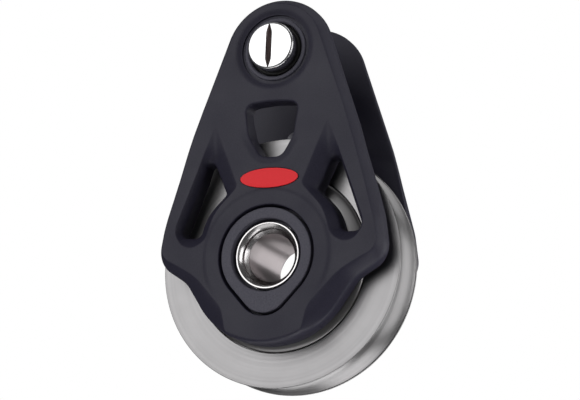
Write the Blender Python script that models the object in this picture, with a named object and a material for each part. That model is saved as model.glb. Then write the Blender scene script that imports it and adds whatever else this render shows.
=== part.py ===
"""Single sheave block: two moulded cheeks carry a grooved sheave on a hollow axle, and a slotted clevis pin
joins the cheeks' heads. The sheave turns on a caged set of rollers and on two side rings of balls.

The model hangs from its clevis pin. The origin is the pin's centre, midway between the cheeks: +Z up,
+Y along the pin and the axle, front cheek towards -Y. Shapes are worked out in millimetres, cheek outlines in
(x, z) from the axle's centre, and depths outwards from the middle plane. They are scaled to metres at the end.
"""
import math

import bmesh
import bpy
import numpy as np
from mathutils import Matrix, Vector
from mathutils.geometry import delaunay_2d_cdt

MM = 0.001
FIT_GAP = 0.3            # between two pieces that touch
AXLE_TO_PIN = 63.0
SIDES = {"front": -1.0, "rear": 1.0}

# Sheave
SHEAVE_R = 37.8
SHEAVE_HALF_W = 7.7
GROOVE_R = 10.5          # wide and shallow, for a line of up to 12 mm
GROOVE_DEPTH = 3.0
BORE_R = 19.6
RECESS_R = 27.4
RECESS_FLOOR = 5.3

# Main bearing: rollers between two sleeves
ROLLER_COUNT = 12
ROLLER_R = 2.75
ROLLER_PITCH_R = 15.5
ROLLER_HALF_L = 4.6
INNER_RACE_R = 12.6
INNER_RACE_HALF_L = 12.1
OUTER_RACE_R = 18.4
CAGE_THICK = 1.8
RUN_GAP = 0.15

# Side bearings: balls between the sheave's side plate and a race in the cheek
BALL_COUNT = 10
BALL_R = 1.5
BALL_PITCH_R = 17.0
PLATE_FLOOR = 7.0
BALL_DEPTH = PLATE_FLOOR + BALL_R + RUN_GAP
RACE_FACE = BALL_DEPTH + BALL_R + RUN_GAP

# Hollow axle
AXLE_R = 10.0
AXLE_BORE_R = 7.25
AXLE_FRONT_END = 17.6
AXLE_REAR_END = 15.0
AXLE_STEP_R = 8.3         # between the two countersinks at each end of the bore
AXLE_MOUTH_R = 9.45

# Cheeks: depths from the middle plane
FACE = 18.9
EDGE = 15.65             # outer edge of the bevel round the sides and the hollow flanks
FOOT_EDGE = 18.1
POCKET_FLOOR = 16.3
CLEVIS_INNER = 13.5
HUB_INNER = 10.6
RACE_POCKET = 12.5
EGG_FLOOR = 14.0
GUARD = ((33.0, 10.6), (38.5, 12.2), (42.6, 13.5))   # (radius, depth): the inner face steps in to the hub
FOOT_R = 26.1
HEAD_R = 17.2
HEAD_DROP = 0.9          # of the head's centre, below the pin
EGG_GAP = 0.4            # half the seam round the axle insert

# Clevis pin and its bushes
PIN_R = 6.0
PIN_HEAD_R = 7.4
PIN_HEAD_FACE = 22.4
PIN_SEAT = 15.0
BUSH_R = 9.8
BUSH_BORE_R = 8.4
BUSH_POCKET_R = 10.75
BUSH_POCKET_FLOOR = 17.6
SLOT_WHEEL_R = 14.0      # the driver slot is what a sharp-edged wheel leaves
SLOT_DEPTH = 2.0

# Badge
BADGE_HALF_X = 9.15
BADGE_HALF_Z = 2.95
BADGE_Z = 23.1
BADGE_RECESS = 0.9


# ---- scene and materials -------------------------------------------------------------------------------------

def clear_scene():
    for item in list(bpy.data.objects):
        bpy.data.objects.remove(item, do_unlink=True)


def material(name, colour, roughness, metallic):
    mat = bpy.data.materials.new(name)
    mat.use_nodes = True
    shader = mat.node_tree.nodes["Principled BSDF"]
    shader.inputs["Base Color"].default_value = (*colour, 1.0)
    shader.inputs["Roughness"].default_value = roughness
    shader.inputs["Metallic"].default_value = metallic
    mat.diffuse_color = (*colour, 1.0)
    return mat


def empty(name, z):
    axis = bpy.data.objects.new(name, None)
    axis.location = (0.0, 0.0, z * MM)
    bpy.context.collection.objects.link(axis)
    return axis


def add_object(name, mesh, mat, parent, location=(0.0, 0.0, 0.0)):
    """Put a mesh under an axis empty, at a place in millimetres from it."""
    if not mesh.materials:
        mesh.materials.append(mat)
    item = bpy.data.objects.new(name, mesh)
    item.parent = parent
    item.location = Vector(location) * MM
    bpy.context.collection.objects.link(item)
    return item


def finish_mesh(name, bm, smooth_angle=35.0):
    """Close the seams, face everything outwards, and scale from millimetres to metres."""
    bmesh.ops.remove_doubles(bm, verts=bm.verts, dist=0.002)
    bmesh.ops.recalc_face_normals(bm, faces=bm.faces)
    bmesh.ops.scale(bm, vec=(MM, MM, MM), verts=bm.verts)
    mesh = bpy.data.meshes.new(name)
    bm.to_mesh(mesh)
    bm.free()
    mesh.shade_smooth()
    mesh.set_sharp_from_angle(angle=math.radians(smooth_angle))
    return mesh


# ---- turned pieces -------------------------------------------------------------------------------------------

def turned(name, profile, segments):
    """Spin a (radius, y) outline about the Y axis. Without points on the axis, the outline is a closed ring."""
    bm = bmesh.new()
    rings = []
    for radius, y in profile:
        if radius == 0.0:
            rings.append([bm.verts.new((0.0, y, 0.0))])
            continue
        turns = [2.0 * math.pi * i / segments for i in range(segments)]
        rings.append([bm.verts.new((radius * math.cos(a), y, radius * math.sin(a))) for a in turns])
    following = rings[1:]
    if profile[0][0] > 0.0:
        following = following + rings[:1]
    for ring, after in zip(rings, following):
        for i in range(segments):
            j = (i + 1) % segments
            corners = [ring[i % len(ring)], ring[j % len(ring)], after[j % len(after)], after[i % len(after)]]
            bm.faces.new(list(dict.fromkeys(corners)))
    return finish_mesh(name, bm)


def mirrored_profile(half):
    """Complete an outline given for y >= 0, from its inner end to its outer end, with its mirror image."""
    return half + [(radius, -y) for radius, y in reversed(half)]


def flipped(profile, side):
    return [(radius, side * y) for radius, y in profile]


# ---- outlines ------------------------------------------------------------------------------------------------

def arc(centre, radius, start, end, steps):
    angles = np.radians(np.linspace(start, end, steps + 1))
    return [(centre[0] + radius * math.cos(a), centre[1] + radius * math.sin(a)) for a in angles]


def rounded(corners, step_deg=15.0):
    """Round a polygon's corners: each corner is (x, z, radius)."""
    points = []
    count = len(corners)
    for i, (x, z, radius) in enumerate(corners):
        corner = np.array((x, z))
        back = np.array(corners[i - 1][:2]) - corner
        ahead = np.array(corners[(i + 1) % count][:2]) - corner
        back /= np.linalg.norm(back)
        ahead /= np.linalg.norm(ahead)
        half = 0.5 * math.acos(float(np.clip(back @ ahead, -1.0, 1.0)))
        bisector = (back + ahead) / np.linalg.norm(back + ahead)
        centre = corner + bisector * radius / math.sin(half)
        start = corner + back * radius / math.tan(half) - centre
        end = corner + ahead * radius / math.tan(half) - centre
        first = math.degrees(math.atan2(start[1], start[0]))
        sweep = math.degrees(math.atan2(end[1], end[0])) - first
        sweep = (sweep + 180.0) % 360.0 - 180.0
        steps = max(1, round(abs(sweep) / step_deg))
        points += arc(centre, radius, first, first + sweep, steps)
    return points


def symmetric(right):
    """Close a right-hand outline, given from the top down, with its mirror image."""
    left = [(-x, z) for x, z in reversed(right) if abs(x) > 0.01]
    return right + left


def cheek_outline():
    """Round head about the pin, slightly bowed sides, shoulders, hollow flanks and a round foot."""
    head = arc((0.0, AXLE_TO_PIN - HEAD_DROP), HEAD_R, 90.0, 18.0, 7)
    side = rounded([(0.0, 90.0, 1.0), (18.5, 65.2, 1.0), (27.45, 35.8, 400.0), (34.45, 11.6, 25.0),
                    (36.35, -0.9, 7.5), (26.7, -7.0, 9.0), (22.4, -13.5, 1.0), (0.0, 0.0, 1.0)])
    side = [p for p in side if p[0] > 20.0 and -12.0 < p[1] < 50.0]
    foot = arc((0.0, 0.0), FOOT_R, -31.0, -90.0, 8)
    return symmetric(head + side + foot)


def face_outline():
    """Where the front face ends and the bevelled rim begins."""
    head = arc((0.0, AXLE_TO_PIN - HEAD_DROP), 14.95, 90.0, 18.0, 7)
    side = rounded([(0.0, 90.0, 1.0), (15.6, 64.6, 1.0), (25.5, 35.6, 400.0), (33.2, 8.6, 20.0),
                    (34.3, 0.9, 4.5), (22.4, -5.6, 20.0), (13.3, -15.6, 8.0), (11.8, -24.0, 1.0),
                    (0.0, 0.0, 1.0)])
    side = [p for p in side if p[0] > 12.0 and -20.0 < p[1] < 50.0]
    foot = arc((0.0, 0.0), FOOT_R - 0.7, -62.0, -90.0, 4)
    return symmetric(head + side + foot)


def centre_window():
    """A shield: slightly arched on top, and narrowing to a round foot."""
    right = [(8.5, 45.9, 2.4), (7.0, 36.0, 8.0), (3.2, 29.8, 3.5)]
    left = [(-x, z, radius) for x, z, radius in reversed(right)]
    return rounded([(0.0, 46.8, 40.0)] + right + left)


def side_pocket(side):
    corners = [(18.1, 40.6, 0.6), (30.4, 8.0, 5.0), (26.0, 1.6, 4.5), (19.9, 5.0, 5.0), (17.2, 13.5, 14.0),
               (10.0, 21.0, 2.0)]
    return rounded([(side * x, z, radius) for x, z, radius in corners])


def side_window(side):
    corners = [(20.1, 31.7, 1.6), (29.3, 6.6, 2.0), (22.6, 6.4, 2.2), (20.6, 13.2, 14.0), (14.6, 19.4, 1.2)]
    return rounded([(side * x, z, radius) for x, z, radius in corners])


def egg(grow):
    """Outline of the axle insert: a round top that narrows to a small round foot."""
    top_r, foot_r, foot_z = 14.6, 8.2, -9.5
    lean = math.degrees(math.asin((top_r - foot_r) / -foot_z))
    right = arc((0.0, 0.0), top_r + grow, 90.0, -lean, 9) + arc((0.0, foot_z), foot_r + grow, -lean, -90.0, 4)
    return symmetric(right)


def oval(half_x, half_z, centre_z, steps=24):
    angles = [2.0 * math.pi * i / steps for i in range(steps)]
    return [(half_x * math.cos(a), centre_z + half_z * math.sin(a)) for a in angles]


def circle(radius, centre_z=0.0, steps=32):
    return oval(radius, radius, centre_z, steps)


# ---- flat pieces with shaped faces ---------------------------------------------------------------------------

def distance_to_loop(points, loop):
    """Shortest distance from each point to a closed outline."""
    points = np.asarray(points, float)
    starts = np.asarray(loop, float)
    ends = np.roll(starts, -1, axis=0)
    runs = ends - starts
    lengths = np.maximum((runs ** 2).sum(axis=1), 1e-12)
    offsets = points[:, None, :] - starts[None, :, :]
    along = np.clip((offsets * runs).sum(axis=2) / lengths, 0.0, 1.0)
    nearest = starts + along[:, :, None] * runs
    return np.sqrt(((points[:, None, :] - nearest) ** 2).sum(axis=2)).min(axis=1)


def inside_loop(points, loop):
    points = np.asarray(points, float)
    starts = np.asarray(loop, float)
    ends = np.roll(starts, -1, axis=0)
    x, z = points[:, 0][:, None], points[:, 1][:, None]
    crosses = (starts[:, 1] > z) != (ends[:, 1] > z)
    rise = np.where(ends[:, 1] == starts[:, 1], 1.0, ends[:, 1] - starts[:, 1])
    meet = starts[:, 0] + (z - starts[:, 1]) * (ends[:, 0] - starts[:, 0]) / rise
    return (crosses & (x < meet)).sum(axis=1) % 2 == 1


def add_sheet(bm, outer, holes, depth, side, guides=(), extra=()):
    """Triangulate the area between an outline and its holes, each point at its own depth."""
    points, edges = [], []
    for loop in [outer, *holes, *guides]:
        first = len(points)
        points += loop
        edges += [(first + i, first + (i + 1) % len(loop)) for i in range(len(loop))]
    points += list(extra)
    flat = [Vector(p) for p in points]
    verts, _, faces, origins, _, _ = delaunay_2d_cdt(flat, edges, [], 0, 1e-5)
    placed = np.array([points[o[0]] if o else tuple(v) for v, o in zip(verts, origins)])
    centres = np.array([placed[list(face)].mean(axis=0) for face in faces])
    keep = inside_loop(centres, outer)
    for hole in holes:
        keep &= ~inside_loop(centres, hole)
    depths = depth(placed)
    solid = [bm.verts.new((x, side * d, z)) for (x, z), d in zip(placed, depths)]
    for face, kept in zip(faces, keep):
        if kept:
            bm.faces.new([solid[i] for i in face])


def add_wall(bm, loop, depth_a, depth_b, side):
    """Join two depths of one outline."""
    points = np.asarray(loop, float)
    near = [bm.verts.new((x, side * d, z)) for (x, z), d in zip(points, depth_a(points))]
    far = [bm.verts.new((x, side * d, z)) for (x, z), d in zip(points, depth_b(points))]
    for i in range(len(loop)):
        j = (i + 1) % len(loop)
        bm.faces.new([near[i], near[j], far[j]])
        bm.faces.new([near[i], far[j], far[i]])


def level(value):
    return lambda points: np.full(len(points), value)


def smoothstep(value, low, high):
    t = np.clip((value - low) / (high - low), 0.0, 1.0)
    return t * t * (3.0 - 2.0 * t)


def rim_depth(points):
    """Depth of the bevel's outer edge, which comes forward round the foot."""
    x, z = np.abs(points[:, 0]), points[:, 1]
    foot = smoothstep(-z, 15.0, 22.0) * (1.0 - smoothstep(x, 10.0, 17.0))
    return EDGE + (FOOT_EDGE - EDGE) * foot


def front_depth(points):
    """Flat face, bevelled down to the rim and sunk round each side window."""
    rim, face = cheek_outline(), face_outline()
    to_rim, to_face = distance_to_loop(points, rim), distance_to_loop(points, face)
    share = np.where(inside_loop(points, face), 0.0, to_face / np.maximum(to_face + to_rim, 1e-6))
    depth = FACE - (FACE - rim_depth(points)) * share
    for side in (-1.0, 1.0):
        pocket, window = side_pocket(side), side_window(side)
        to_pocket, to_window = distance_to_loop(points, pocket), distance_to_loop(points, window)
        sunk = np.where(inside_loop(points, pocket), to_pocket / np.maximum(to_pocket + to_window, 1e-6), 0.0)
        depth = depth - (FACE - POCKET_FLOOR) * sunk
    return depth


def rear_depth(points):
    """Flat clevis cheek above, stepped in by a rope guard to a flat hub cheek below."""
    radii, depths = zip(*GUARD)
    return np.interp(np.hypot(points[:, 0], points[:, 1]), radii, depths)


def pocket_floor_points(side):
    """A few points between a pocket's outline and its window, so that the slope between them is followed."""
    return [(side * x, z) for x, z in ((18.6, 35.5), (19.1, 33.0), (14.0, 22.5), (16.0, 17.0), (20.0, 7.0),
                                       (25.5, 4.6))]


def guard_points():
    """Points along the rope guard's edges, kept clear of the outline and the windows."""
    points = []
    for radius, _ in GUARD:
        points += arc((0.0, 0.0), radius, 0.0, 180.0, 40)
    points = np.array(points)
    clear = inside_loop(points, cheek_outline()) & (distance_to_loop(points, cheek_outline()) > 1.0)
    for window in (centre_window(), side_window(-1.0), side_window(1.0)):
        clear &= ~inside_loop(points, window) & (distance_to_loop(points, window) > 1.0)
    return [tuple(p) for p in points[clear]]


def cheek(side):
    bm = bmesh.new()
    outline = cheek_outline()
    windows = [centre_window(), side_window(-1.0), side_window(1.0)]
    insert_hole, axle_hole = egg(EGG_GAP), circle(AXLE_R + 1.2)
    bush_pocket, bush_hole = circle(BUSH_POCKET_R, AXLE_TO_PIN), circle(BUSH_R + FIT_GAP, AXLE_TO_PIN)
    badge_hole = oval(BADGE_HALF_X + 0.25, BADGE_HALF_Z + 0.25, BADGE_Z)
    race_hole = circle(20.6, steps=36)
    floor_points = pocket_floor_points(-1.0) + pocket_floor_points(1.0)
    add_sheet(bm, outline, windows + [insert_hole, bush_pocket, badge_hole], front_depth, side,
              guides=[face_outline(), side_pocket(-1.0), side_pocket(1.0)], extra=floor_points)
    add_sheet(bm, outline, windows + [race_hole, bush_hole], rear_depth, side, extra=guard_points())
    for loop in [outline, *windows]:
        add_wall(bm, loop, front_depth, rear_depth, side)
    add_wall(bm, insert_hole, level(FACE), level(EGG_FLOOR), side)
    add_sheet(bm, insert_hole, [axle_hole], level(EGG_FLOOR), side)
    add_wall(bm, axle_hole, level(EGG_FLOOR), level(RACE_POCKET), side)
    add_sheet(bm, race_hole, [axle_hole], level(RACE_POCKET), side)
    add_wall(bm, race_hole, level(RACE_POCKET), level(HUB_INNER), side)
    add_wall(bm, bush_pocket, level(FACE), level(BUSH_POCKET_FLOOR), side)
    add_sheet(bm, bush_pocket, [bush_hole], level(BUSH_POCKET_FLOOR), side)
    add_wall(bm, bush_hole, level(BUSH_POCKET_FLOOR), level(CLEVIS_INNER), side)
    add_wall(bm, badge_hole, level(FACE), level(FACE - BADGE_RECESS), side)
    add_sheet(bm, badge_hole, [], level(FACE - BADGE_RECESS), side)
    return finish_mesh("cheek", bm, smooth_angle=20.0)


def badge(side):
    bm = bmesh.new()
    outline = oval(BADGE_HALF_X, BADGE_HALF_Z, BADGE_Z)
    front, back = FACE + 0.05, FACE - BADGE_RECESS + FIT_GAP
    for depth in (front, back):
        add_sheet(bm, outline, [], level(depth), side)
    add_wall(bm, outline, level(front), level(back), side)
    return finish_mesh("badge", bm)


def axle_insert(side):
    """Egg-shaped cap, counterbored round the axle's end."""
    bm = bmesh.new()
    outline, mouth, bore = egg(-EGG_GAP), circle(10.95), circle(AXLE_R + 0.2)
    mouth_floor, back = 14.6, EGG_FLOOR + FIT_GAP
    add_sheet(bm, outline, [mouth], level(FACE), side)
    add_wall(bm, outline, level(FACE), level(back), side)
    add_sheet(bm, outline, [bore], level(back), side)
    add_wall(bm, mouth, level(FACE), level(mouth_floor), side)
    add_sheet(bm, mouth, [bore], level(mouth_floor), side)
    add_wall(bm, bore, level(mouth_floor), level(back), side)
    return finish_mesh("axle_insert", bm)


# ---- sheave and bearings -------------------------------------------------------------------------------------

def sheave():
    rim, lip, centre_r = SHEAVE_R, 0.2, SHEAVE_R - GROOVE_DEPTH + GROOVE_R
    mouth = math.degrees(math.acos((centre_r - rim) / GROOVE_R))
    half = [(BORE_R, RECESS_FLOOR), (RECESS_R, RECESS_FLOOR), (RECESS_R, SHEAVE_HALF_W),
            (rim - lip, SHEAVE_HALF_W), (rim, SHEAVE_HALF_W - lip)]
    half += [(centre_r - GROOVE_R * math.cos(a), GROOVE_R * math.sin(a))
             for a in np.radians((mouth, 32.0, 19.0, 6.0))]
    return turned("sheave", mirrored_profile(half), 52)


def side_plate(side):
    """Ring pressed into the sheave: a ball track inside, and a domed collar where it shows."""
    outer = RECESS_R - 0.25
    profile = [(13.4, RECESS_FLOOR + 0.2), (outer, RECESS_FLOOR + 0.2), (outer, 7.5), (26.2, 8.1), (23.5, 9.1),
               (20.9, 9.6), (20.2, PLATE_FLOOR), (13.4, PLATE_FLOOR)]
    return turned("side_plate", flipped(profile, side), 40)


def sleeve(name, inner_r, outer_r, inner_y, outer_y, segments=36):
    return turned(name, [(inner_r, inner_y), (outer_r, inner_y), (outer_r, outer_y), (inner_r, outer_y)], segments)


def ball():
    bm = bmesh.new()
    bmesh.ops.create_icosphere(bm, subdivisions=1, radius=BALL_R)
    return finish_mesh("ball", bm, smooth_angle=80.0)


def roller():
    edge = 0.35
    profile = [(0.0, -ROLLER_HALF_L), (ROLLER_R - edge, -ROLLER_HALF_L), (ROLLER_R, edge - ROLLER_HALF_L),
               (ROLLER_R, ROLLER_HALF_L - edge), (ROLLER_R - edge, ROLLER_HALF_L), (0.0, ROLLER_HALF_L)]
    return turned("roller", profile, 12)


def around(count, radius, y):
    """Evenly spaced places on a circle about the axle, with their angles."""
    angles = [2.0 * math.pi * i / count for i in range(count)]
    return [((radius * math.cos(a), y, radius * math.sin(a)), a) for a in angles]


def cut(body, cutters, name):
    """Take all the cutters' shapes out of a body, and keep the cutter as a wire guide."""
    bm = bmesh.new()
    for mesh, matrix in cutters:
        first = len(bm.verts)
        bm.from_mesh(mesh)
        bm.verts.ensure_lookup_table()
        bmesh.ops.transform(bm, matrix=matrix, verts=bm.verts[first:])
    tool_mesh = bpy.data.meshes.new(name)
    bm.to_mesh(tool_mesh)
    bm.free()
    tool = bpy.data.objects.new(name, tool_mesh)
    bpy.context.collection.objects.link(tool)
    tool.parent = body.parent
    tool.location = body.location
    tool.hide_render = True
    tool.display_type = "WIRE"
    boolean = body.modifiers.new("cut", "BOOLEAN")
    boolean.operation = "DIFFERENCE"
    boolean.solver = "EXACT"
    boolean.object = tool


def box_mesh(size):
    bm = bmesh.new()
    bmesh.ops.create_cube(bm, size=1.0)
    bmesh.ops.scale(bm, vec=size, verts=bm.verts)
    return finish_mesh("box", bm)


def turn_and_place(place, angle):
    return Matrix.Translation(Vector(place) * MM) @ Matrix.Rotation(-angle, 4, "Y")


def roller_cage(parent, mat):
    """Thin drum with a window for each roller."""
    half_l = ROLLER_HALF_L + 0.45
    inner, outer = ROLLER_PITCH_R - CAGE_THICK / 2, ROLLER_PITCH_R + CAGE_THICK / 2
    drum = sleeve("roller_cage", inner, outer, -half_l, half_l, 48)
    cage = add_object("roller_cage", drum, mat, parent)
    window = box_mesh((4.0, 2.0 * ROLLER_HALF_L + 0.3, 2.0 * ROLLER_R + 0.3))
    cut(cage, [(window, turn_and_place(*spot)) for spot in around(ROLLER_COUNT, ROLLER_PITCH_R, 0.0)],
        "roller_windows")


def ball_cage(name, side, parent, mat):
    """Flat ring with a hole for each ball."""
    depth = side * BALL_DEPTH
    ring = sleeve(name, BALL_PITCH_R - 2.5, BALL_PITCH_R + 2.5, depth - 0.6, depth + 0.6, 40)
    cage = add_object(name, ring, mat, parent)
    hole = turned("ball_hole", [(0.0, -2.0), (BALL_R + 0.2, -2.0), (BALL_R + 0.2, 2.0), (0.0, 2.0)], 10)
    cut(cage, [(hole, turn_and_place(*spot)) for spot in around(BALL_COUNT, BALL_PITCH_R, depth)],
        name + "_holes")


# ---- axle and clevis pin -------------------------------------------------------------------------------------

def axle_end(end, countersink, step, deep):
    """Outline of an end, from the bore out to the rim: the countersinks' depths are measured in from the end."""
    return [(AXLE_BORE_R, end - countersink), (AXLE_STEP_R, end - step), (AXLE_STEP_R, end - deep),
            (AXLE_MOUTH_R, end), (AXLE_R - 0.05, end), (AXLE_R, end - 0.3)]


def axle():
    """Tube with two countersinks at each end. Its rear end stands back inside the cheek's cap."""
    front, rear = axle_end(AXLE_FRONT_END, 3.7, 2.5, 1.3), axle_end(AXLE_REAR_END, 4.5, 3.3, 2.1)
    return turned("axle", rear + [(radius, -y) for radius, y in reversed(front)], 40)


def clevis_pin():
    """Round-edged head with a seal groove, on a plain shank."""
    head, groove = PIN_HEAD_R, 6.4
    profile = [(0.0, -PIN_HEAD_FACE), (head - 0.8, -PIN_HEAD_FACE), (head - 0.3, 0.2 - PIN_HEAD_FACE),
               (head - 0.05, 0.6 - PIN_HEAD_FACE), (head, 1.0 - PIN_HEAD_FACE), (head, -18.2), (groove, -18.2),
               (groove, -16.2), (head, -16.2), (head, -PIN_SEAT - 0.2), (PIN_R, -PIN_SEAT - 0.2), (PIN_R, 16.7),
               (PIN_R - 0.8, 17.5), (0.0, 17.5)]
    return turned("clevis_pin", profile, 32)


def slot_wheel():
    edge, half_w = SLOT_WHEEL_R, 0.95
    side_r = edge - 1.3
    return turned("slot_wheel", [(0.0, -half_w), (side_r, -half_w), (edge, 0.0), (side_r, half_w), (0.0, half_w)], 72)


def o_ring():
    ring_r, wire_r, steps = 7.35, 0.7, 8
    turns = [2.0 * math.pi * i / steps for i in range(steps)]
    return turned("pin_o_ring", [(ring_r + wire_r * math.cos(a), -17.2 + wire_r * math.sin(a)) for a in turns], 28)


def pin_bush(side):
    """Bush with a rounded lip and a shoulder at its inner end, where the pin's head seats."""
    lip, back = FACE - 0.4, CLEVIS_INNER + 0.2
    profile = [(PIN_R + 0.2, back), (BUSH_R, back), (BUSH_R, lip - 0.7), (BUSH_R - 0.3, lip - 0.2),
               (9.1, lip), (BUSH_BORE_R + 0.2, lip - 0.3), (BUSH_BORE_R, lip - 0.9), (BUSH_BORE_R, PIN_SEAT),
               (PIN_R + 0.2, PIN_SEAT)]
    return turned("pin_bush", flipped(profile, side), 32)


# ---- assembly ------------------------------------------------------------------------------------------------

def build():
    clear_scene()
    shell = material("cheek_black", (0.045, 0.045, 0.055), 0.55, 0.0)
    cap = material("insert_grey", (0.055, 0.055, 0.06), 0.6, 0.0)
    alloy = material("sheave_alloy", (0.42, 0.41, 0.41), 0.38, 1.0)
    steel = material("polished_steel", (0.75, 0.74, 0.73), 0.16, 1.0)
    track = material("race_steel", (0.6, 0.6, 0.6), 0.25, 1.0)
    acetal = material("cage_acetal", (0.55, 0.55, 0.52), 0.5, 0.0)
    rubber = material("seal_rubber", (0.012, 0.012, 0.012), 0.7, 0.0)
    red = material("badge_red", (0.72, 0.03, 0.04), 0.4, 0.0)

    axle_axis = empty("axle_axis", -AXLE_TO_PIN)
    pin_axis = empty("pin_axis", 0.0)

    for word, side in SIDES.items():
        add_object(word + "_cheek", cheek(side), shell, axle_axis)
        add_object(word + "_axle_insert", axle_insert(side), cap, axle_axis)
        add_object(word + "_badge", badge(side), red, axle_axis)
        add_object(word + "_side_plate", side_plate(side), alloy, axle_axis)
        race = sleeve("ball_race", 13.4, 20.3, side * RACE_FACE, side * (RACE_POCKET - FIT_GAP), 40)
        add_object(word + "_ball_race", race, track, axle_axis)
        ball_cage(word + "_ball_cage", side, axle_axis, acetal)
        add_object(word + "_pin_bush", pin_bush(side), cap, pin_axis)

    add_object("axle", axle(), steel, axle_axis)
    inner = sleeve("inner_race", AXLE_R + 0.15, INNER_RACE_R, -INNER_RACE_HALF_L, INNER_RACE_HALF_L)
    add_object("inner_race", inner, track, axle_axis)
    outer = sleeve("outer_race", OUTER_RACE_R, BORE_R - 0.25, -RECESS_FLOOR, RECESS_FLOOR, 40)
    add_object("outer_race", outer, track, axle_axis)
    add_object("sheave", sheave(), alloy, axle_axis)

    roller_cage(axle_axis, acetal)
    roller_mesh, ball_mesh = roller(), ball()
    for i, (place, _) in enumerate(around(ROLLER_COUNT, ROLLER_PITCH_R, 0.0), start=1):
        add_object(f"roller_{i:02d}", roller_mesh, track, axle_axis, place)
    for word, side in SIDES.items():
        for i, (place, _) in enumerate(around(BALL_COUNT, BALL_PITCH_R, side * BALL_DEPTH), start=1):
            add_object(f"{word}_ball_{i:02d}", ball_mesh, track, axle_axis, place)

    pin = add_object("clevis_pin", clevis_pin(), steel, pin_axis)
    wheel_y = SLOT_DEPTH - PIN_HEAD_FACE - SLOT_WHEEL_R
    upright = Matrix.Translation(Vector((-0.4, wheel_y, 0.0)) * MM) @ Matrix.Rotation(math.radians(90.0), 4, "Z")
    cut(pin, [(slot_wheel(), upright)], "pin_slot")
    add_object("pin_o_ring", o_ring(), rubber, pin_axis)


build()
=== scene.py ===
"""Looks for the single sheave block: finer surfaces, materials, lights and the camera.

Outlines are in millimetres, in (x, z) from the axle's centre unless a name says otherwise, and depths run
outwards from the middle plane. The front is -Y. Turned shapes are lists of (radius, y).
"""
import math

import bmesh
import bpy
import numpy as np
from mathutils import Matrix, Vector
from mathutils.geometry import delaunay_2d_cdt


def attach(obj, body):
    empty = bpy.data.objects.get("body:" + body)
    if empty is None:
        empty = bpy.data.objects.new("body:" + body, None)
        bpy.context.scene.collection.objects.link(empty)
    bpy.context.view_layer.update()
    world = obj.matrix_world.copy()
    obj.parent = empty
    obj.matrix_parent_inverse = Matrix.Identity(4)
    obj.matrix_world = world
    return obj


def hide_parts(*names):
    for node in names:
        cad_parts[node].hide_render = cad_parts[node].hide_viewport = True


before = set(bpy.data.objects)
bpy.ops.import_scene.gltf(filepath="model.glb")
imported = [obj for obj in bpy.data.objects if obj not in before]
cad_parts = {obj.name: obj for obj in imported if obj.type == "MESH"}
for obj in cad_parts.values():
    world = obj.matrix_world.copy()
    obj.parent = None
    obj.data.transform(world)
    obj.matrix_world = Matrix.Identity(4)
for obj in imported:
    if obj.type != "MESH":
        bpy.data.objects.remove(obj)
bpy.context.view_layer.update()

MM = 0.001
SIDES = {"front": -1.0, "rear": 1.0}
AXLE_TO_PIN = 63.0
AXLE_Z = -AXLE_TO_PIN * MM
AXLE_AT = Vector((0.0, 0.0, AXLE_Z))
PIN_AT = Vector((0.0, 0.0, 0.0))

# Depths in a cheek: its outer face, the foot of that face's bevel, and what is sunk into it from either side.
FACE = 18.9
EDGE = 15.65
FOOT_EDGE = 18.1
POCKET_FLOOR = 16.3
BUSH_POCKET_FLOOR = 17.6
BADGE_FLOOR = FACE - 0.9
EGG_FLOOR = 14.0
RACE_POCKET = 12.5
# The inner face's depth at three radii: beside the sheave, over its rim, and in the clevis gap.
GUARD = ((33.0, 10.6), (38.5, 12.2), (42.6, 13.5))

# Sizes in a cheek's outline and of what sits in it. The head's arc is centred a little below the pin.
FOOT_R = 26.1
HEAD_R = 17.2
HEAD_DROP = 0.9
BEVELLED_HEAD_R = 14.95
EGG_GAP = 0.4
AXLE_HOLE_R = 11.2
RACE_HOLE_R = 20.6
BUSH_POCKET_R = 10.75
BUSH_R = 9.8
BUSH_GAP = 0.3
# The badge's half width, its half height, and its centre's height over the axle.
BADGE = (9.15, 2.95, 23.1)
BADGE_GAP = 0.25


# ---- outlines ------------------------------------------------------------------------------------

def arc(centre, radius, start, end, step_deg=3.0):
    """Points along an arc, between two angles in degrees."""
    steps = max(2, round(abs(end - start) / step_deg))
    angles = np.radians(np.linspace(start, end, steps + 1))
    return [(centre[0] + radius * math.cos(a), centre[1] + radius * math.sin(a)) for a in angles]


def rounded(corners, step_deg=5.0):
    """Round a polygon's corners: each corner is (x, z, radius)."""
    points = []
    count = len(corners)
    for i, (x, z, radius) in enumerate(corners):
        corner = np.array((x, z))
        back = np.array(corners[i - 1][:2]) - corner
        ahead = np.array(corners[(i + 1) % count][:2]) - corner
        back /= np.linalg.norm(back)
        ahead /= np.linalg.norm(ahead)
        half = 0.5 * math.acos(float(np.clip(back @ ahead, -1.0, 1.0)))
        bisector = (back + ahead) / np.linalg.norm(back + ahead)
        centre = corner + bisector * radius / math.sin(half)
        start = corner + back * radius / math.tan(half) - centre
        end = corner + ahead * radius / math.tan(half) - centre
        first = math.degrees(math.atan2(start[1], start[0]))
        sweep = math.degrees(math.atan2(end[1], end[0])) - first
        sweep = (sweep + 180.0) % 360.0 - 180.0
        step = min(step_deg, 60.0 / radius) if radius > 12.0 else step_deg
        points += arc(centre, radius, first, first + sweep, step)
    return points


def symmetric(right):
    """Close a right half, given from top to bottom, with its mirror image."""
    left = [(-x, z) for x, z in reversed(right) if abs(x) > 0.01]
    return right + left


def refine(loop, longest=1.2):
    """Split an outline's long straight runs, so that the mesh beside them stays even."""
    points = []
    for (x0, z0), (x1, z1) in zip(loop, loop[1:] + loop[:1]):
        steps = max(1, math.ceil(math.hypot(x1 - x0, z1 - z0) / longest))
        points += [(x0 + (x1 - x0) * i / steps, z0 + (z1 - z0) * i / steps) for i in range(steps)]
    return points


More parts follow.
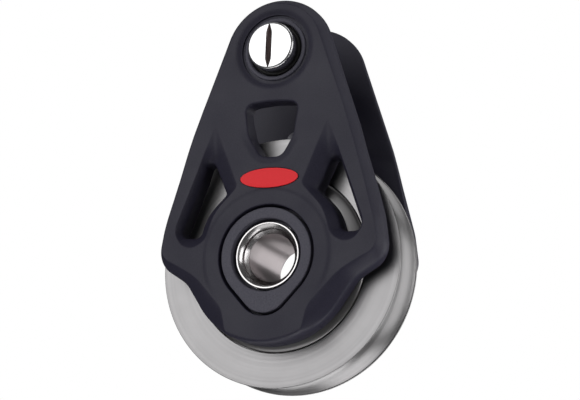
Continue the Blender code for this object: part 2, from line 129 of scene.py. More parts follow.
def cheek_outline():
    head = arc((0.0, AXLE_TO_PIN - HEAD_DROP), HEAD_R, 90.0, 18.0)
    side = rounded([(0.0, 90.0, 1.0), (18.5, 65.2, 1.0), (27.45, 35.8, 400.0), (34.45, 11.6, 25.0),
                    (36.35, -0.9, 7.5), (26.7, -7.0, 9.0), (22.4, -13.5, 1.0), (0.0, 0.0, 1.0)])
    side = [p for p in side if p[0] > 20.0 and -12.0 < p[1] < 50.0]
    return symmetric(head + side + arc((0.0, 0.0), FOOT_R, -31.0, -90.0))


def face_outline():
    """Where the flat face ends and its bevel begins."""
    head = arc((0.0, AXLE_TO_PIN - HEAD_DROP), BEVELLED_HEAD_R, 90.0, 18.0)
    side = rounded([(0.0, 90.0, 1.0), (15.6, 64.6, 1.0), (25.5, 35.6, 400.0), (33.2, 8.6, 20.0),
                    (34.3, 0.9, 4.5), (22.4, -5.6, 20.0), (13.3, -15.6, 8.0), (11.8, -24.0, 1.0),
                    (0.0, 0.0, 1.0)])
    side = [p for p in side if p[0] > 12.0 and -20.0 < p[1] < 50.0]
    return symmetric(head + side + arc((0.0, 0.0), FOOT_R - 0.7, -62.0, -90.0))


def centre_window():
    right = [(8.5, 45.9, 2.4), (7.0, 36.0, 8.0), (3.2, 29.8, 3.5)]
    left = [(-x, z, radius) for x, z, radius in reversed(right)]
    return rounded([(0.0, 46.8, 40.0)] + right + left)


def side_pocket(side):
    corners = [(18.1, 40.6, 0.6), (30.4, 8.0, 5.0), (26.0, 1.6, 4.5), (19.9, 5.0, 5.0), (17.2, 13.5, 14.0),
               (10.0, 21.0, 2.0)]
    return rounded([(side * x, z, radius) for x, z, radius in corners])


def side_window(side):
    corners = [(20.1, 31.7, 1.6), (29.3, 6.6, 2.0), (22.6, 6.4, 2.2), (20.6, 13.2, 14.0), (14.6, 19.4, 1.2)]
    return rounded([(side * x, z, radius) for x, z, radius in corners])


def egg(grow):
    """Round top and smaller round foot, joined by straight sides. The grown outline is a seat for the cap."""
    top_r, foot_r, foot_z = 14.6, 8.2, -9.5
    lean = math.degrees(math.asin((top_r - foot_r) / -foot_z))
    right = arc((0.0, 0.0), top_r + grow, 90.0, -lean) + arc((0.0, foot_z), foot_r + grow, -lean, -90.0)
    return symmetric(right)


def oval(half_x, half_z, centre_z, steps=120):
    angles = [2.0 * math.pi * i / steps for i in range(steps)]
    return [(half_x * math.cos(a), centre_z + half_z * math.sin(a)) for a in angles]


def circle(radius, centre_z=0.0, steps=120):
    return oval(radius, radius, centre_z, steps)


# ---- sheets with shaped faces --------------------------------------------------------------------

def distance_to_loop(points, loop):
    points = np.asarray(points, float)
    starts = np.asarray(loop, float)
    runs = np.roll(starts, -1, axis=0) - starts
    lengths = np.maximum((runs ** 2).sum(axis=1), 1e-12)
    nearest = np.full(len(points), np.inf)
    for start, run, length in zip(starts, runs, lengths):
        offset = points - start
        along = np.clip(offset @ run / length, 0.0, 1.0)
        nearest = np.minimum(nearest, ((offset - along[:, None] * run) ** 2).sum(axis=1))
    return np.sqrt(nearest)


def inside_loop(points, loop):
    points = np.asarray(points, float)
    x, z = points[:, 0], points[:, 1]
    odd = np.zeros(len(points), bool)
    for (x0, z0), (x1, z1) in zip(loop, loop[1:] + loop[:1]):
        if z0 != z1:
            odd ^= ((z0 > z) != (z1 > z)) & (x < x0 + (z - z0) * (x1 - x0) / (z1 - z0))
    return odd


def signed_distance(points, loop):
    """Distance to an outline, negative inside it."""
    distance = distance_to_loop(points, loop)
    return np.where(inside_loop(points, loop), -distance, distance)


def smoothstep(value, low, high):
    t = np.clip((value - low) / (high - low), 0.0, 1.0)
    return t * t * (3.0 - 2.0 * t)


def softened(value, width):
    """Like max(value, 0), with a round bend."""
    return 0.5 * (value + np.sqrt(value ** 2 + width ** 2)) - 0.5 * width


def edge_drop(distance, radius):
    """How far a rounded edge has fallen at a distance from its wall."""
    run = np.clip(radius - distance, 0.0, radius)
    return radius - np.sqrt(np.maximum(radius ** 2 - run ** 2, 0.0))


def front_depth(points):
    """Face with a bevelled rim, a raised boss, sunk side pockets and rounded edges."""
    x, z = np.abs(points[:, 0]), points[:, 1]
    to_rim = distance_to_loop(points, cheek_outline())

    # The bevel is shallow along the foot, and bends more softly on the foot's flanks.
    foot = smoothstep(-z, 15.0, 22.0) * (1.0 - smoothstep(x, 10.0, 17.0))
    rim_depth = EDGE + (FOOT_EDGE - EDGE) * foot
    flank = smoothstep(-z, 0.0, 6.0) * smoothstep(x, 11.0, 16.0)
    beyond = np.maximum(softened(signed_distance(points, face_outline()), 0.5 + 2.0 * flank), 0.0)
    depth = FACE - (FACE - rim_depth) * beyond / np.maximum(beyond + to_rim, 1e-6)

    boss_step, bush_dish, window_lip = 0.35, 0.8, 0.7
    beside_boss = (1.0 - smoothstep(-z, 6.0, 15.0)) * (1.0 - smoothstep(z, 24.0, 34.0))
    depth -= boss_step * smoothstep(np.hypot(x, z), 19.0, 20.6) * beside_boss
    for side in (-1.0, 1.0):
        into = np.maximum(softened(-signed_distance(points, side_pocket(side)), 0.7), 0.0)
        to_window = distance_to_loop(points, side_window(side))
        depth -= (FACE - POCKET_FLOOR) * into / np.maximum(into + to_window, 1e-6)
        depth -= edge_drop(to_window, 0.5)
    to_window = distance_to_loop(points, centre_window())
    lower = 1.0 - smoothstep(z, 32.0, 40.0)
    depth -= edge_drop(to_window, 0.6) + window_lip * lower * (1.0 - smoothstep(to_window, 0.0, 3.0))
    from_pin = np.hypot(x, z - AXLE_TO_PIN)
    depth -= bush_dish * (1.0 - smoothstep(from_pin, BUSH_POCKET_R - 0.5, BUSH_POCKET_R + 2.2))
    depth -= edge_drop(to_rim, 0.45)
    depth -= edge_drop(distance_to_loop(points, egg(EGG_GAP)), 0.35)
    return depth


def rear_depth(points):
    """Inner face, which widens from the sheave's side to the clevis gap."""
    radii, depths = zip(*GUARD)
    depth = np.interp(np.hypot(points[:, 0], points[:, 1]), radii, depths)
    return depth + edge_drop(distance_to_loop(points, cheek_outline()), 0.35)


def level(value):
    """A flat face's depth."""
    return lambda points: np.full(len(points), value)


def on_sheet(points, outer, holes, clear=None, own=None, own_clear=None):
    """Which points are inside an outline, outside its holes and clear of every loop.

    Points that follow a loop of their own may be nearer to that one.
    """
    keep = inside_loop(points, outer)
    for hole in holes:
        keep &= ~inside_loop(points, hole)
    if clear is not None:
        for loop in [outer, *holes]:
            keep &= distance_to_loop(points, loop) > (own_clear if loop is own else clear)
    return keep


def grid_points(outer, spacing):
    """An even triangular grid over an outline's bounds, with x = 0 on every other row."""
    loop = np.asarray(outer)
    low, high = loop.min(axis=0), loop.max(axis=0)
    first = -spacing * math.ceil(-low[0] / spacing)
    points = []
    for row, z in enumerate(np.arange(low[1], high[1], spacing * 0.866)):
        shift = 0.5 * spacing * (row % 2)
        points += [(x + shift, z) for x in np.arange(first, high[0], spacing)]
    return np.array(points)


def offset_loops(loop, distances):
    """Rows of points beside an outline, which carry its rounded edge."""
    points = np.asarray(loop, float)
    tangent = np.roll(points, -1, axis=0) - np.roll(points, 1, axis=0)
    tangent /= np.maximum(np.linalg.norm(tangent, axis=1, keepdims=True), 1e-9)
    normal = np.stack([tangent[:, 1], -tangent[:, 0]], axis=1)
    return [points + normal * d for d in distances]


def add_sheet(bm, outer, holes, depth, side, spacing=None, rows=(), creases=()):
    """Triangulate the area between an outline and its holes, each point at its own depth.

    A spacing fills the area with a grid. Rows are distances from each outline that get points of their own,
    and creases are lines that do, so that rounded edges and bends stay crisp.
    """
    clear, crease_rows = 0.7, (-0.5, -0.2, 0.2, 0.5)
    points, edges = [], []
    for loop in [outer, *holes]:
        first = len(points)
        points += loop
        edges += [(first + i, first + (i + 1) % len(loop)) for i in range(len(loop))]
    if spacing:
        grid_clear = 0.75 if rows else 0.45 * spacing
        grid = grid_points(outer, spacing)
        grid = grid[on_sheet(grid, outer, holes, grid_clear)]
        for crease in creases:
            grid = grid[distance_to_loop(grid, crease) > grid_clear]
        points += [tuple(p) for p in grid]
        for crease in creases:
            for row in [np.asarray(crease), *offset_loops(crease, crease_rows)]:
                points += [tuple(p) for p in row[on_sheet(row, outer, holes, clear)]]
        for loop in [outer, *holes]:
            for row in offset_loops(loop, [sign * d for d in rows for sign in (-1.0, 1.0)]):
                keep = on_sheet(row, outer, holes, clear, own=loop, own_clear=0.9 * min(rows))
                points += [tuple(p) for p in row[keep]]
    verts, _, faces, origins, _, _ = delaunay_2d_cdt([Vector(p) for p in points], edges, [], 0, 1e-5)
    placed = np.array([points[o[0]] if o else tuple(v) for v, o in zip(verts, origins)])
    centres = np.array([placed[list(face)].mean(axis=0) for face in faces])
    corners = [bm.verts.new((x, side * d, z)) for (x, z), d in zip(placed, depth(placed))]
    for face, kept in zip(faces, on_sheet(centres, outer, holes)):
        if kept:
            bm.faces.new([corners[i] for i in face])


def add_wall(bm, loop, depth_a, depth_b, side):
    """Join two depths along an outline."""
    points = np.asarray(loop, float)
    near = [bm.verts.new((x, side * d, z)) for (x, z), d in zip(points, depth_a(points))]
    far = [bm.verts.new((x, side * d, z)) for (x, z), d in zip(points, depth_b(points))]
    for i in range(len(loop)):
        j = (i + 1) % len(loop)
        bm.faces.new([near[i], near[j], far[j], far[i]])


def finish_mesh(name, bm, at, smooth_angle=32.0):
    """Close the seams, face everything outwards, scale to metres and set in place."""
    bmesh.ops.remove_doubles(bm, verts=bm.verts, dist=0.002)
    bmesh.ops.delete(bm, geom=[v for v in bm.verts if not v.link_faces], context="VERTS")
    bmesh.ops.recalc_face_normals(bm, faces=bm.faces)
    bmesh.ops.scale(bm, vec=(MM, MM, MM), verts=bm.verts)
    bmesh.ops.translate(bm, vec=at, verts=bm.verts)
    mesh = bpy.data.meshes.new(name)
    bm.to_mesh(mesh)
    bm.free()
    mesh.shade_smooth()
    mesh.set_sharp_from_angle(angle=math.radians(smooth_angle))
    return mesh


def piece(name, mesh, mat, body, slot, *nodes):
    """Show a finer mesh in place of CAD nodes, moving with their body."""
    mesh.materials.append(mat)
    item = bpy.data.objects.new(name, mesh)
    bpy.context.collection.objects.link(item)
    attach(item, body)
    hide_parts(*nodes)
    return item


# ---- pieces --------------------------------------------------------------------------------------

def cheek(side):
    """Moulded side plate, with its windows, its pockets and the seats of what is fitted to it."""
    bm = bmesh.new()
    outline = refine(cheek_outline())
    windows = [refine(w, 0.8) for w in (centre_window(), side_window(-1.0), side_window(1.0))]
    insert_hole, axle_hole, race_hole = refine(egg(EGG_GAP), 0.8), circle(AXLE_HOLE_R), circle(RACE_HOLE_R)
    bush_pocket, bush_hole = circle(BUSH_POCKET_R, AXLE_TO_PIN), circle(BUSH_R + BUSH_GAP, AXLE_TO_PIN)
    badge_hole = oval(BADGE[0] + BADGE_GAP, BADGE[1] + BADGE_GAP, BADGE[2])
    bends = [refine(loop, 0.7) for loop in (face_outline(), side_pocket(-1.0), side_pocket(1.0))]
    add_sheet(bm, outline, windows + [insert_hole, bush_pocket, badge_hole], front_depth, side,
              spacing=0.7, rows=(0.12, 0.3, 0.5), creases=bends)
    add_sheet(bm, outline, windows + [race_hole, bush_hole], rear_depth, side, spacing=1.3, rows=(0.15, 0.4))
    for loop in [outline, *windows]:
        add_wall(bm, loop, front_depth, rear_depth, side)
    add_wall(bm, insert_hole, front_depth, level(EGG_FLOOR), side)
    add_sheet(bm, insert_hole, [axle_hole], level(EGG_FLOOR), side)
    add_wall(bm, axle_hole, level(EGG_FLOOR), level(RACE_POCKET), side)
    add_sheet(bm, race_hole, [axle_hole], level(RACE_POCKET), side)
    add_wall(bm, race_hole, level(RACE_POCKET), rear_depth, side)
    add_wall(bm, bush_pocket, front_depth, level(BUSH_POCKET_FLOOR), side)
    add_sheet(bm, bush_pocket, [bush_hole], level(BUSH_POCKET_FLOOR), side)
    add_wall(bm, bush_hole, level(BUSH_POCKET_FLOOR), rear_depth, side)
    add_wall(bm, badge_hole, front_depth, level(BADGE_FLOOR), side)
    add_sheet(bm, badge_hole, [], level(BADGE_FLOOR), side)
    return finish_mesh("cheek", bm, AXLE_AT)


def axle_insert(side):
    """Egg-shaped cap with rounded edges, counterbored round the axle's end."""
    bm = bmesh.new()
    mouth_r, bore_r, mouth_floor, back = 10.95, 10.2, 14.6, EGG_FLOOR + 0.3
    outline, mouth, bore = refine(egg(-EGG_GAP), 0.8), circle(mouth_r), circle(bore_r)

    def face(points):
        to_mouth = np.abs(np.hypot(points[:, 0], points[:, 1]) - mouth_r)
        return FACE - edge_drop(distance_to_loop(points, outline), 0.4) - edge_drop(to_mouth, 0.3)

    add_sheet(bm, outline, [mouth], face, side, spacing=0.8, rows=(0.1, 0.25, 0.45))
    add_wall(bm, outline, face, level(back), side)
    add_sheet(bm, outline, [bore], level(back), side)
    add_wall(bm, mouth, face, level(mouth_floor), side)
    add_sheet(bm, mouth, [bore], level(mouth_floor), side)
    add_wall(bm, bore, level(mouth_floor), level(back), side)
    return finish_mesh("axle_insert", bm, AXLE_AT)


def badge(side):
    """Plain oval plate, very slightly domed."""
    bm = bmesh.new()
    outline, back = oval(*BADGE), FACE - 0.6
    half_x, half_z, centre_z = BADGE

    def face(points):
        away = np.hypot(points[:, 0] / half_x, (points[:, 1] - centre_z) / half_z)
        return FACE + 0.05 - 0.12 * away ** 4

    add_sheet(bm, outline, [], face, side, spacing=0.6)
    add_sheet(bm, outline, [], level(back), side)
    add_wall(bm, outline, face, level(back), side)
    return finish_mesh("badge", bm, AXLE_AT)


def turned(name, profile, at, segments=160, smooth_angle=32.0):
    """Spin a (radius, y) outline about the Y axis. Without points on the axis, it is a closed ring."""
    bm = bmesh.new()
    rings = []
    for radius, y in profile:
        if radius == 0.0:
            rings.append([bm.verts.new((0.0, y, 0.0))])
            continue
        turns = [2.0 * math.pi * i / segments for i in range(segments)]
        rings.append([bm.verts.new((radius * math.cos(a), y, radius * math.sin(a))) for a in turns])
    following = rings[1:]
    if profile[0][0] > 0.0:
        following = following + rings[:1]
    for ring, after in zip(rings, following):
        for i in range(segments):
            j = (i + 1) % segments
            corners = [ring[i % len(ring)], ring[j % len(ring)], after[j % len(after)], after[i % len(after)]]
            bm.faces.new(list(dict.fromkeys(corners)))
    return finish_mesh(name, bm, at, smooth_angle)


def mirrored_profile(half):
    return half + [(radius, -y) for radius, y in reversed(half)]


def flipped(profile, side):
    return [(radius, side * y) for radius, y in profile]


def sheave():
    """Wheel with a round groove between two lands, a small step at each land's inner edge, and sunk sides."""
    rim, half_w, groove_r, groove_depth = 37.8, 7.7, 10.5, 3.0
    bore, web_half_w, recess, edge_r = 19.6, 5.3, 27.4, 0.15
    centre_r = rim - groove_depth + groove_r
    mouth = math.sqrt(groove_r ** 2 - (centre_r - rim) ** 2)
    half = [(bore, web_half_w), (recess, web_half_w), (recess, half_w - edge_r), (recess + edge_r, half_w),
            (rim - 0.2, half_w)]
    half += [(rim - edge_r + edge_r * math.sin(a), half_w - edge_r + edge_r * math.cos(a))
             for a in np.radians((15.0, 35.0, 55.0, 75.0, 90.0))]
    half += [(rim, mouth - 0.2), (rim - 0.04, mouth - 0.27), (rim - 0.3, mouth - 0.33)]
    half += [(centre_r - groove_r * math.cos(a), groove_r * math.sin(a))
             for a in np.radians(np.arange(41.0, 1.0, -3.0))]
    return turned("sheave", mirrored_profile(half), AXLE_AT, segments=256)


def side_plate(side):
    """Domed collar on the sheave's side, with the ball track inside it."""
    bore, outer, back, track = 13.4, 27.15, 5.5, 7.0
    dome = [(outer - 0.1, 7.55), (26.75, 7.9), (26.2, 8.15), (25.3, 8.5), (24.4, 8.8), (23.5, 9.1),
            (22.6, 9.33), (21.8, 9.49), (20.95, 9.6), (20.7, 9.45)]
    profile = [(bore, back), (outer, back), (outer, 7.4)] + dome + [(20.2, track), (bore, track)]
    return turned("side_plate", flipped(profile, side), AXLE_AT, segments=200)


def axle():
    """Tube with two countersinks at each end. Its rear end stands back inside the cheek's cap.

    Each end's profile runs outwards from the bore, in (radius, y) from the end's own face.
    """
    front_end, rear_end = 17.6, 15.0
    mouth = [(9.4, -0.05), (9.5, 0.0), (9.85, 0.0), (9.97, -0.1), (10.0, -0.3)]
    front = [(7.25, -3.7), (7.3, -3.63), (8.22, -2.55), (8.3, -2.45), (8.3, -1.35), (8.36, -1.25)] + mouth
    rear = [(7.25, -4.5), (8.3, -3.3), (8.3, -2.1), (8.36, -2.0)] + mouth
    profile = [(radius, y + rear_end) for radius, y in rear]
    profile += [(radius, -(y + front_end)) for radius, y in reversed(front)]
    return turned("axle", profile, AXLE_AT, segments=200)


def pin_bush(side):
    """Bush with a rounded lip, a little wider inside the cheek's hole than at its lip."""
    bore, seat, back, shelf = 6.2, 10.08, 13.7, 15.0
    lip = [(BUSH_R, 17.8), (9.75, 18.1), (9.6, 18.35), (9.35, 18.47), (9.1, 18.5), (8.85, 18.45),
           (8.62, 18.3), (8.47, 18.0), (8.4, 17.6)]
    profile = [(bore, back), (seat, back), (seat, 17.5), (BUSH_R, 17.55)] + lip
    profile += [(8.4, shelf), (bore, shelf)]
    return turned("pin_bush", flipped(profile, side), PIN_AT)


def clevis_pin():
    """Round-edged head with a seal groove on a plain shank, and the V slot that a wheel leaves."""
    face, head_r, shank_r, tip = -22.4, 7.4, 6.0, 17.5
    nose = [(0.0, face), (6.6, face), (6.85, face + 0.05), (7.1, face + 0.2), (7.28, face + 0.45),
            (7.37, face + 0.7), (head_r, face + 1.0)]
    body = [(head_r, -18.25), (head_r - 0.05, -18.2), (6.4, -18.2), (6.4, -16.2), (head_r, -16.2),
            (head_r, -15.2), (shank_r, -15.2), (shank_r, 16.7), (5.9, 16.9), (5.2, tip), (0.0, tip)]
    pin = bpy.data.objects.new("pin", turned("clevis_pin", nose + body, PIN_AT))
    wheel_r, wheel_edge, half_w, depth, slot_x = 14.0, 1.3, 0.95, 2.0, -0.4
    wheel = [(0.0, -half_w), (wheel_r - wheel_edge, -half_w), (wheel_r, 0.0), (wheel_r - wheel_edge, half_w),
             (0.0, half_w)]
    tool = bpy.data.objects.new("tool", turned("slot_wheel", wheel, PIN_AT, segments=256))
    tool.matrix_world = (Matrix.Translation(Vector((slot_x, depth + face - wheel_r, 0.0)) * MM)
                         @ Matrix.Rotation(math.radians(90.0), 4, "Z"))
    for item in (pin, tool):
        bpy.context.collection.objects.link(item)
    cut = pin.modifiers.new("cut", "BOOLEAN")
    cut.operation = "DIFFERENCE"
    cut.solver = "EXACT"
    cut.object = tool
    mesh = bpy.data.meshes.new_from_object(pin.evaluated_get(bpy.context.evaluated_depsgraph_get()))
    mesh.materials.clear()
    # Faces on the slot's side walls take the second material, whose darker steel is painted shade in the
    # slot.
    for facet in mesh.polygons:
        place = facet.center / MM
        in_slot = abs(place.x - slot_x) < half_w + 0.05 and face + 0.01 < place.y < face + depth + 0.1
        facet.material_index = int(in_slot and abs(facet.normal.x) > 0.5)
    mesh.shade_smooth()
    mesh.set_sharp_from_angle(angle=math.radians(25.0))
    for item in (pin, tool):
        bpy.data.objects.remove(item, do_unlink=True)
    return mesh


def o_ring():
    ring_r, cord_r, y, steps = 7.35, 0.7, -17.2, 20
    turns = [2.0 * math.pi * i / steps for i in range(steps)]
    profile = [(ring_r + cord_r * math.cos(a), y + cord_r * math.sin(a)) for a in turns]
    return turned("pin_o_ring", profile, PIN_AT, segments=96, smooth_angle=80.0)


# ---- materials -----------------------------------------------------------------------------------

class Nodes:
    """A material's node tree, with short helpers."""

    def __init__(self, name):
        self.mat = bpy.data.materials.new(name)
        self.mat.use_nodes = True
        self.tree = self.mat.node_tree
        self.shader = self.tree.nodes["Principled BSDF"]
        self.place = self.add("ShaderNodeTexCoord").outputs["Object"]

    def add(self, kind, **settings):
        node = self.tree.nodes.new(kind)
        for key, value in settings.items():
            setattr(node, key, value)
        return node

    def link(self, source, target):
        self.tree.links.new(source, target)

    def noise(self, scale, detail=3.0, roughness=0.5, vector=None):
        node = self.add("ShaderNodeTexNoise")
        node.inputs["Scale"].default_value = scale
        node.inputs["Detail"].default_value = detail
        node.inputs["Roughness"].default_value = roughness
        self.link(vector or self.place, node.inputs["Vector"])
        return node.outputs["Fac"]

    def spread(self, value, low, high, start=0.3, stop=0.7):
        """Map a range of values, by default a noise's middle one, onto low to high."""
        node = self.add("ShaderNodeMapRange")
        node.inputs["From Min"].default_value = start
        node.inputs["From Max"].default_value = stop
        node.inputs["To Min"].default_value = low
        node.inputs["To Max"].default_value = high
        self.link(value, node.inputs["Value"])
        return node.outputs["Result"]

    def blend(self, factor, low, high):
        node = self.add("ShaderNodeMix", data_type="RGBA")
        node.inputs["A"].default_value = (*low, 1.0)
        node.inputs["B"].default_value = (*high, 1.0)
        self.link(factor, node.inputs["Factor"])
        return node.outputs["Result"]

    def bump(self, height, distance, strength=1.0, below=None):
        node = self.add("ShaderNodeBump")
        node.inputs["Strength"].default_value = strength
        node.inputs["Distance"].default_value = distance
        self.link(height, node.inputs["Height"])
        if below:
            self.link(below, node.inputs["Normal"])
        return node.outputs["Normal"]

    def set(self, **values):
        for key, value in values.items():
            socket = self.shader.inputs[key.replace("_", " ")]
            if isinstance(value, bpy.types.NodeSocket):
                self.link(value, socket)
            else:
                socket.default_value = value
        return self.mat


def moulded(name, low, high, roughness, grain, grain_depth):
    """Moulded plastic: a fine grain, faint flow marks and a slightly uneven sheen."""
    n = Nodes(name)
    flow = n.noise(60.0, 4.0, 0.55)
    fine = n.noise(grain, 2.0, 0.6)
    normal = n.bump(fine, grain_depth)
    normal = n.bump(flow, 0.00012, 0.35, normal)
    return n.set(Base_Color=n.blend(n.spread(fine, 0.0, 1.0), low, high),
                 Roughness=n.spread(flow, roughness - 0.05, roughness + 0.06), Normal=normal,
                 Specular_IOR_Level=0.3)


def metal(name, low, high, roughness, spread, centre, line_scale, line_depth, bore=None):
    """Turned metal: fine rings about an axis along Y at a centre's height, and a soft unevenness of colour.

    A bore is (radius, extra roughness, tint): inside that radius the finish is rougher and its colour tinted.
    """
    n = Nodes(name)
    split = n.add("ShaderNodeSeparateXYZ")
    n.link(n.place, split.inputs["Vector"])
    lift = n.add("ShaderNodeMath", operation="SUBTRACT")
    lift.inputs[1].default_value = centre
    n.link(split.outputs["Z"], lift.inputs[0])
    flat = n.add("ShaderNodeCombineXYZ")
    n.link(split.outputs["X"], flat.inputs["X"])
    n.link(lift.outputs["Value"], flat.inputs["Z"])
    length = n.add("ShaderNodeVectorMath", operation="LENGTH")
    n.link(flat.outputs["Vector"], length.inputs[0])
    rings = n.add("ShaderNodeCombineXYZ")
    n.link(length.outputs["Value"], rings.inputs["X"])
    n.link(split.outputs["Y"], rings.inputs["Y"])
    lines = n.noise(line_scale, 2.0, 0.7, rings.outputs["Vector"])
    cloud = n.noise(90.0, 3.0, 0.5)
    rough = n.spread(lines, roughness - spread, roughness + spread)
    colour = n.blend(n.spread(cloud, 0.0, 1.0), low, high)
    if bore:
        radius, extra_roughness, tint = bore
        inside = n.spread(length.outputs["Value"], 1.0, 0.0, radius * MM, (radius + 0.15) * MM)
        total = n.add("ShaderNodeMath", operation="MULTIPLY_ADD")
        n.link(inside, total.inputs[0])
        total.inputs[1].default_value = extra_roughness
        n.link(rough, total.inputs[2])
        rough = total.outputs["Value"]
        tinted = n.add("ShaderNodeMix", data_type="RGBA", blend_type="MULTIPLY")
        n.link(inside, tinted.inputs["Factor"])
        n.link(colour, tinted.inputs["A"])
        tinted.inputs["B"].default_value = (*tint, 1.0)
        colour = tinted.outputs["Result"]
    return n.set(Base_Color=colour, Metallic=1.0, Roughness=rough, Normal=n.bump(lines, line_depth))


def rubber():
    """Matte black seal."""
    n = Nodes("seal_rubber")
    fine = n.noise(3000.0)
    return n.set(Base_Color=n.blend(n.spread(fine, 0.0, 1.0), (0.008, 0.008, 0.008), (0.016, 0.016, 0.016)),
                 Roughness=n.spread(fine, 0.55, 0.7), Normal=n.bump(fine, 0.00001))


def enamel():
    """Smooth red of the badge."""
    n = Nodes("badge_red")
    fine = n.noise(900.0, 4.0)
    return n.set(Base_Color=n.blend(n.spread(fine, 0.0, 1.0), (0.98, 0.018, 0.028), (1.0, 0.024, 0.036)),
                 Roughness=n.spread(fine, 0.36, 0.46), Normal=n.bump(fine, 0.00001), Specular_IOR_Level=0.2)


shell = moulded("cheek_black", (0.019, 0.0175, 0.032), (0.026, 0.024, 0.043), 0.50, 2600.0, 0.00002)
cap = moulded("insert_grey", (0.07, 0.068, 0.09), (0.10, 0.097, 0.125), 0.60, 1900.0, 0.00003)
acetal = moulded("cage_acetal", (0.50, 0.50, 0.46), (0.58, 0.58, 0.54), 0.45, 2000.0, 0.00001)
alloy = metal("sheave_alloy", (0.251, 0.246, 0.249), (0.274, 0.269, 0.272), 0.34, 0.04,
              AXLE_Z, 2500.0, 0.000004)
steel = metal("polished_steel", (0.56, 0.545, 0.545), (0.61, 0.595, 0.595), 0.22, 0.03,
              AXLE_Z, 3000.0, 0.000002, bore=(7.27, 0.12, (0.62, 0.57, 0.58)))
pin_steel = metal("pin_steel", (0.60, 0.60, 0.61), (0.66, 0.66, 0.67), 0.20, 0.04,
                  0.0, 3000.0, 0.000003)
# Darker, browner steel for the slot's side walls: painted shade in the slot, on a rougher finish.
slot_shade_steel = metal("slot_shade_steel", (0.22, 0.185, 0.18), (0.28, 0.24, 0.235), 0.50, 0.05,
                   0.0, 3000.0, 0.000003)
track = metal("race_steel", (0.60, 0.60, 0.60), (0.66, 0.66, 0.66), 0.22, 0.03,
              AXLE_Z, 3000.0, 0.000002)
seal, red = rubber(), enamel()

for word, side in SIDES.items():
    piece(word + "_cheek_fine", cheek(side), shell, "block", "cheek_black", word + "_cheek")
    piece(word + "_axle_insert_fine", axle_insert(side), cap, "block", "insert_grey", word + "_axle_insert")
    piece(word + "_badge_fine", badge(side), red, "block", "badge_red", word + "_badge")
    piece(word + "_pin_bush_fine", pin_bush(side), cap, "block", "insert_grey", word + "_pin_bush")
    piece(word + "_side_plate_fine", side_plate(side), alloy, "sheave_set", "sheave_alloy",
          word + "_side_plate")
piece("sheave_fine", sheave(), alloy, "sheave_set", "sheave_alloy", "sheave")
piece("axle_fine", axle(), steel, "block", "polished_steel", "axle")
pin_item = piece("clevis_pin_fine", clevis_pin(), pin_steel, "pin", "polished_steel", "clevis_pin")
# Second material: the slot walls' darker steel, which paints shade into the slot.
pin_item.data.materials.append(slot_shade_steel)
piece("pin_o_ring_fine", o_ring(), seal, "pin_seal", "seal_rubber", "pin_o_ring")

# The bearings inside keep their CAD solids, with a finer material.
for name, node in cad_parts.items():
    if "cage" in name:
        mat = acetal
    elif any(word in name for word in ("race", "roller", "ball")):
        mat = track
    else:
        continue
    node.data.materials.clear()
    node.data.materials.append(mat)


# ---- stage, lights and camera --------------------------------------------------------------------

def plain_surface(name, colour):
    n = Nodes(name)
    return n.set(Base_Color=(*colour, 1.0), Roughness=0.9,
                 Emission_Color=(*colour, 1.0), Emission_Strength=0.8)


def floor():
    """Pale floor that neither lights the object nor shows in its reflections."""
    bm = bmesh.new()
    bmesh.ops.create_grid(bm, x_segments=1, y_segments=1, size=6.0)
    mesh = bpy.data.meshes.new("floor")
    bm.to_mesh(mesh)
    bm.free()
    mesh.materials.append(plain_surface("floor_paint", (0.85, 0.85, 0.85)))
    item = bpy.data.objects.new("floor", mesh)
    item.location = (0.0, 0.0, -0.75)
    item.visible_glossy = False
    item.visible_diffuse = False
    bpy.context.collection.objects.link(item)


def softbox(name, towards, distance, size, brightness):
    """A soft light in a direction from the block, with the brightness that a mirror would show."""
    light = bpy.data.lights.new(name, "AREA")
    light.shape = "RECTANGLE"
    light.size, light.size_y = size
    light.energy = brightness * math.pi * size[0] * size[1]
    item = bpy.data.objects.new(name, light)
    aim = Vector(towards).normalized()
    item.location = Vector((0.0, 0.0, -0.04)) + aim * distance
    item.rotation_euler = (-aim).to_track_quat("-Z", "Y").to_euler()
    item.visible_camera = False
    bpy.context.collection.objects.link(item)


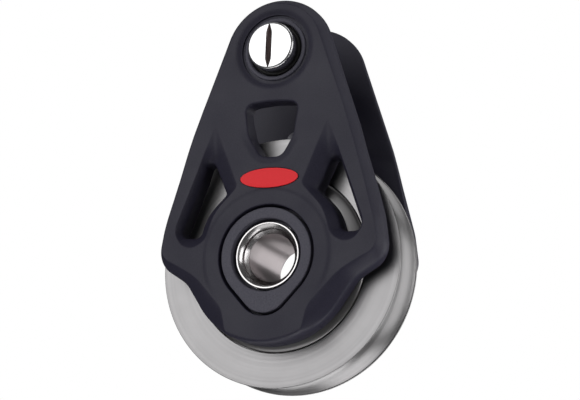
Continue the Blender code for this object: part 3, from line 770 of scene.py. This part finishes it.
def backdrop_and_fill():
    """White behind the object, and an even soft fill round it."""
    world = bpy.data.worlds.new("studio")
    bpy.context.scene.world = world
    world.use_nodes = True
    tree = world.node_tree
    fill = tree.nodes["Background"]
    fill.inputs["Color"].default_value = (1.0, 1.0, 1.0, 1.0)
    fill.inputs["Strength"].default_value = 0.09
    white = tree.nodes.new("ShaderNodeBackground")
    white.inputs["Color"].default_value = (1.0, 1.0, 1.0, 1.0)
    path = tree.nodes.new("ShaderNodeLightPath")
    mix = tree.nodes.new("ShaderNodeMixShader")
    tree.links.new(path.outputs["Is Camera Ray"], mix.inputs["Fac"])
    tree.links.new(fill.outputs["Background"], mix.inputs[1])
    tree.links.new(white.outputs["Background"], mix.inputs[2])
    tree.links.new(mix.outputs["Shader"], tree.nodes["World Output"].inputs["Surface"])


def camera():
    """The view that was fitted to the block's outlines."""
    distance, aim = 0.59468, Vector((-0.000787, 0.0, -0.042136))
    azimuth, elevation, roll = (math.radians(a) for a in (22.584, -13.659, 2.294))
    back = Vector((math.sin(azimuth) * math.cos(elevation), -math.cos(azimuth) * math.cos(elevation),
                   math.sin(elevation)))
    right = (-back).cross(Vector((0.0, 0.0, 1.0))).normalized()
    up = right.cross(-back)
    turned_right = math.cos(roll) * right + math.sin(roll) * up
    turned_up = -math.sin(roll) * right + math.cos(roll) * up
    matrix = Matrix((turned_right, turned_up, back)).transposed().to_4x4()
    matrix.translation = back * distance + aim
    data = bpy.data.cameras.new("camera")
    data.sensor_width = 36.0
    data.lens = 121.76
    data.clip_start = 0.01
    item = bpy.data.objects.new("camera", data)
    item.matrix_world = matrix
    bpy.context.collection.objects.link(item)
    bpy.context.scene.camera = item


floor()
backdrop_and_fill()
# Each softbox: its direction from the block, distance, size and brightness.
softbox("key", (-0.36, -0.90, 0.28), 1.1, (1.1, 0.95), 2.1)
softbox("right", (0.90, 0.42, -0.05), 1.0, (0.8, 1.25), 1.6)
softbox("right_front", (0.92, -0.30, 0.08), 1.0, (0.24, 0.7), 3.0)
softbox("top", (-0.37, 0.27, 0.88), 1.0, (0.8, 0.8), 0.2)
softbox("top_right", (0.42, 0.20, 0.88), 0.9, (0.5, 0.7), 1.2)
softbox("back", (0.36, 0.91, -0.12), 0.6, (0.26, 0.36), 1.7)
softbox("low_back", (-0.15, 0.66, -0.74), 0.45, (0.34, 0.26), 2.4)
softbox("below", (0.34, 0.08, -0.94), 0.45, (0.36, 0.32), 2.2)
softbox("low_front", (-0.25, -0.40, -0.88), 0.5, (0.4, 0.3), 0.8)
camera()
bpy.context.scene.view_settings.view_transform = "Standard"
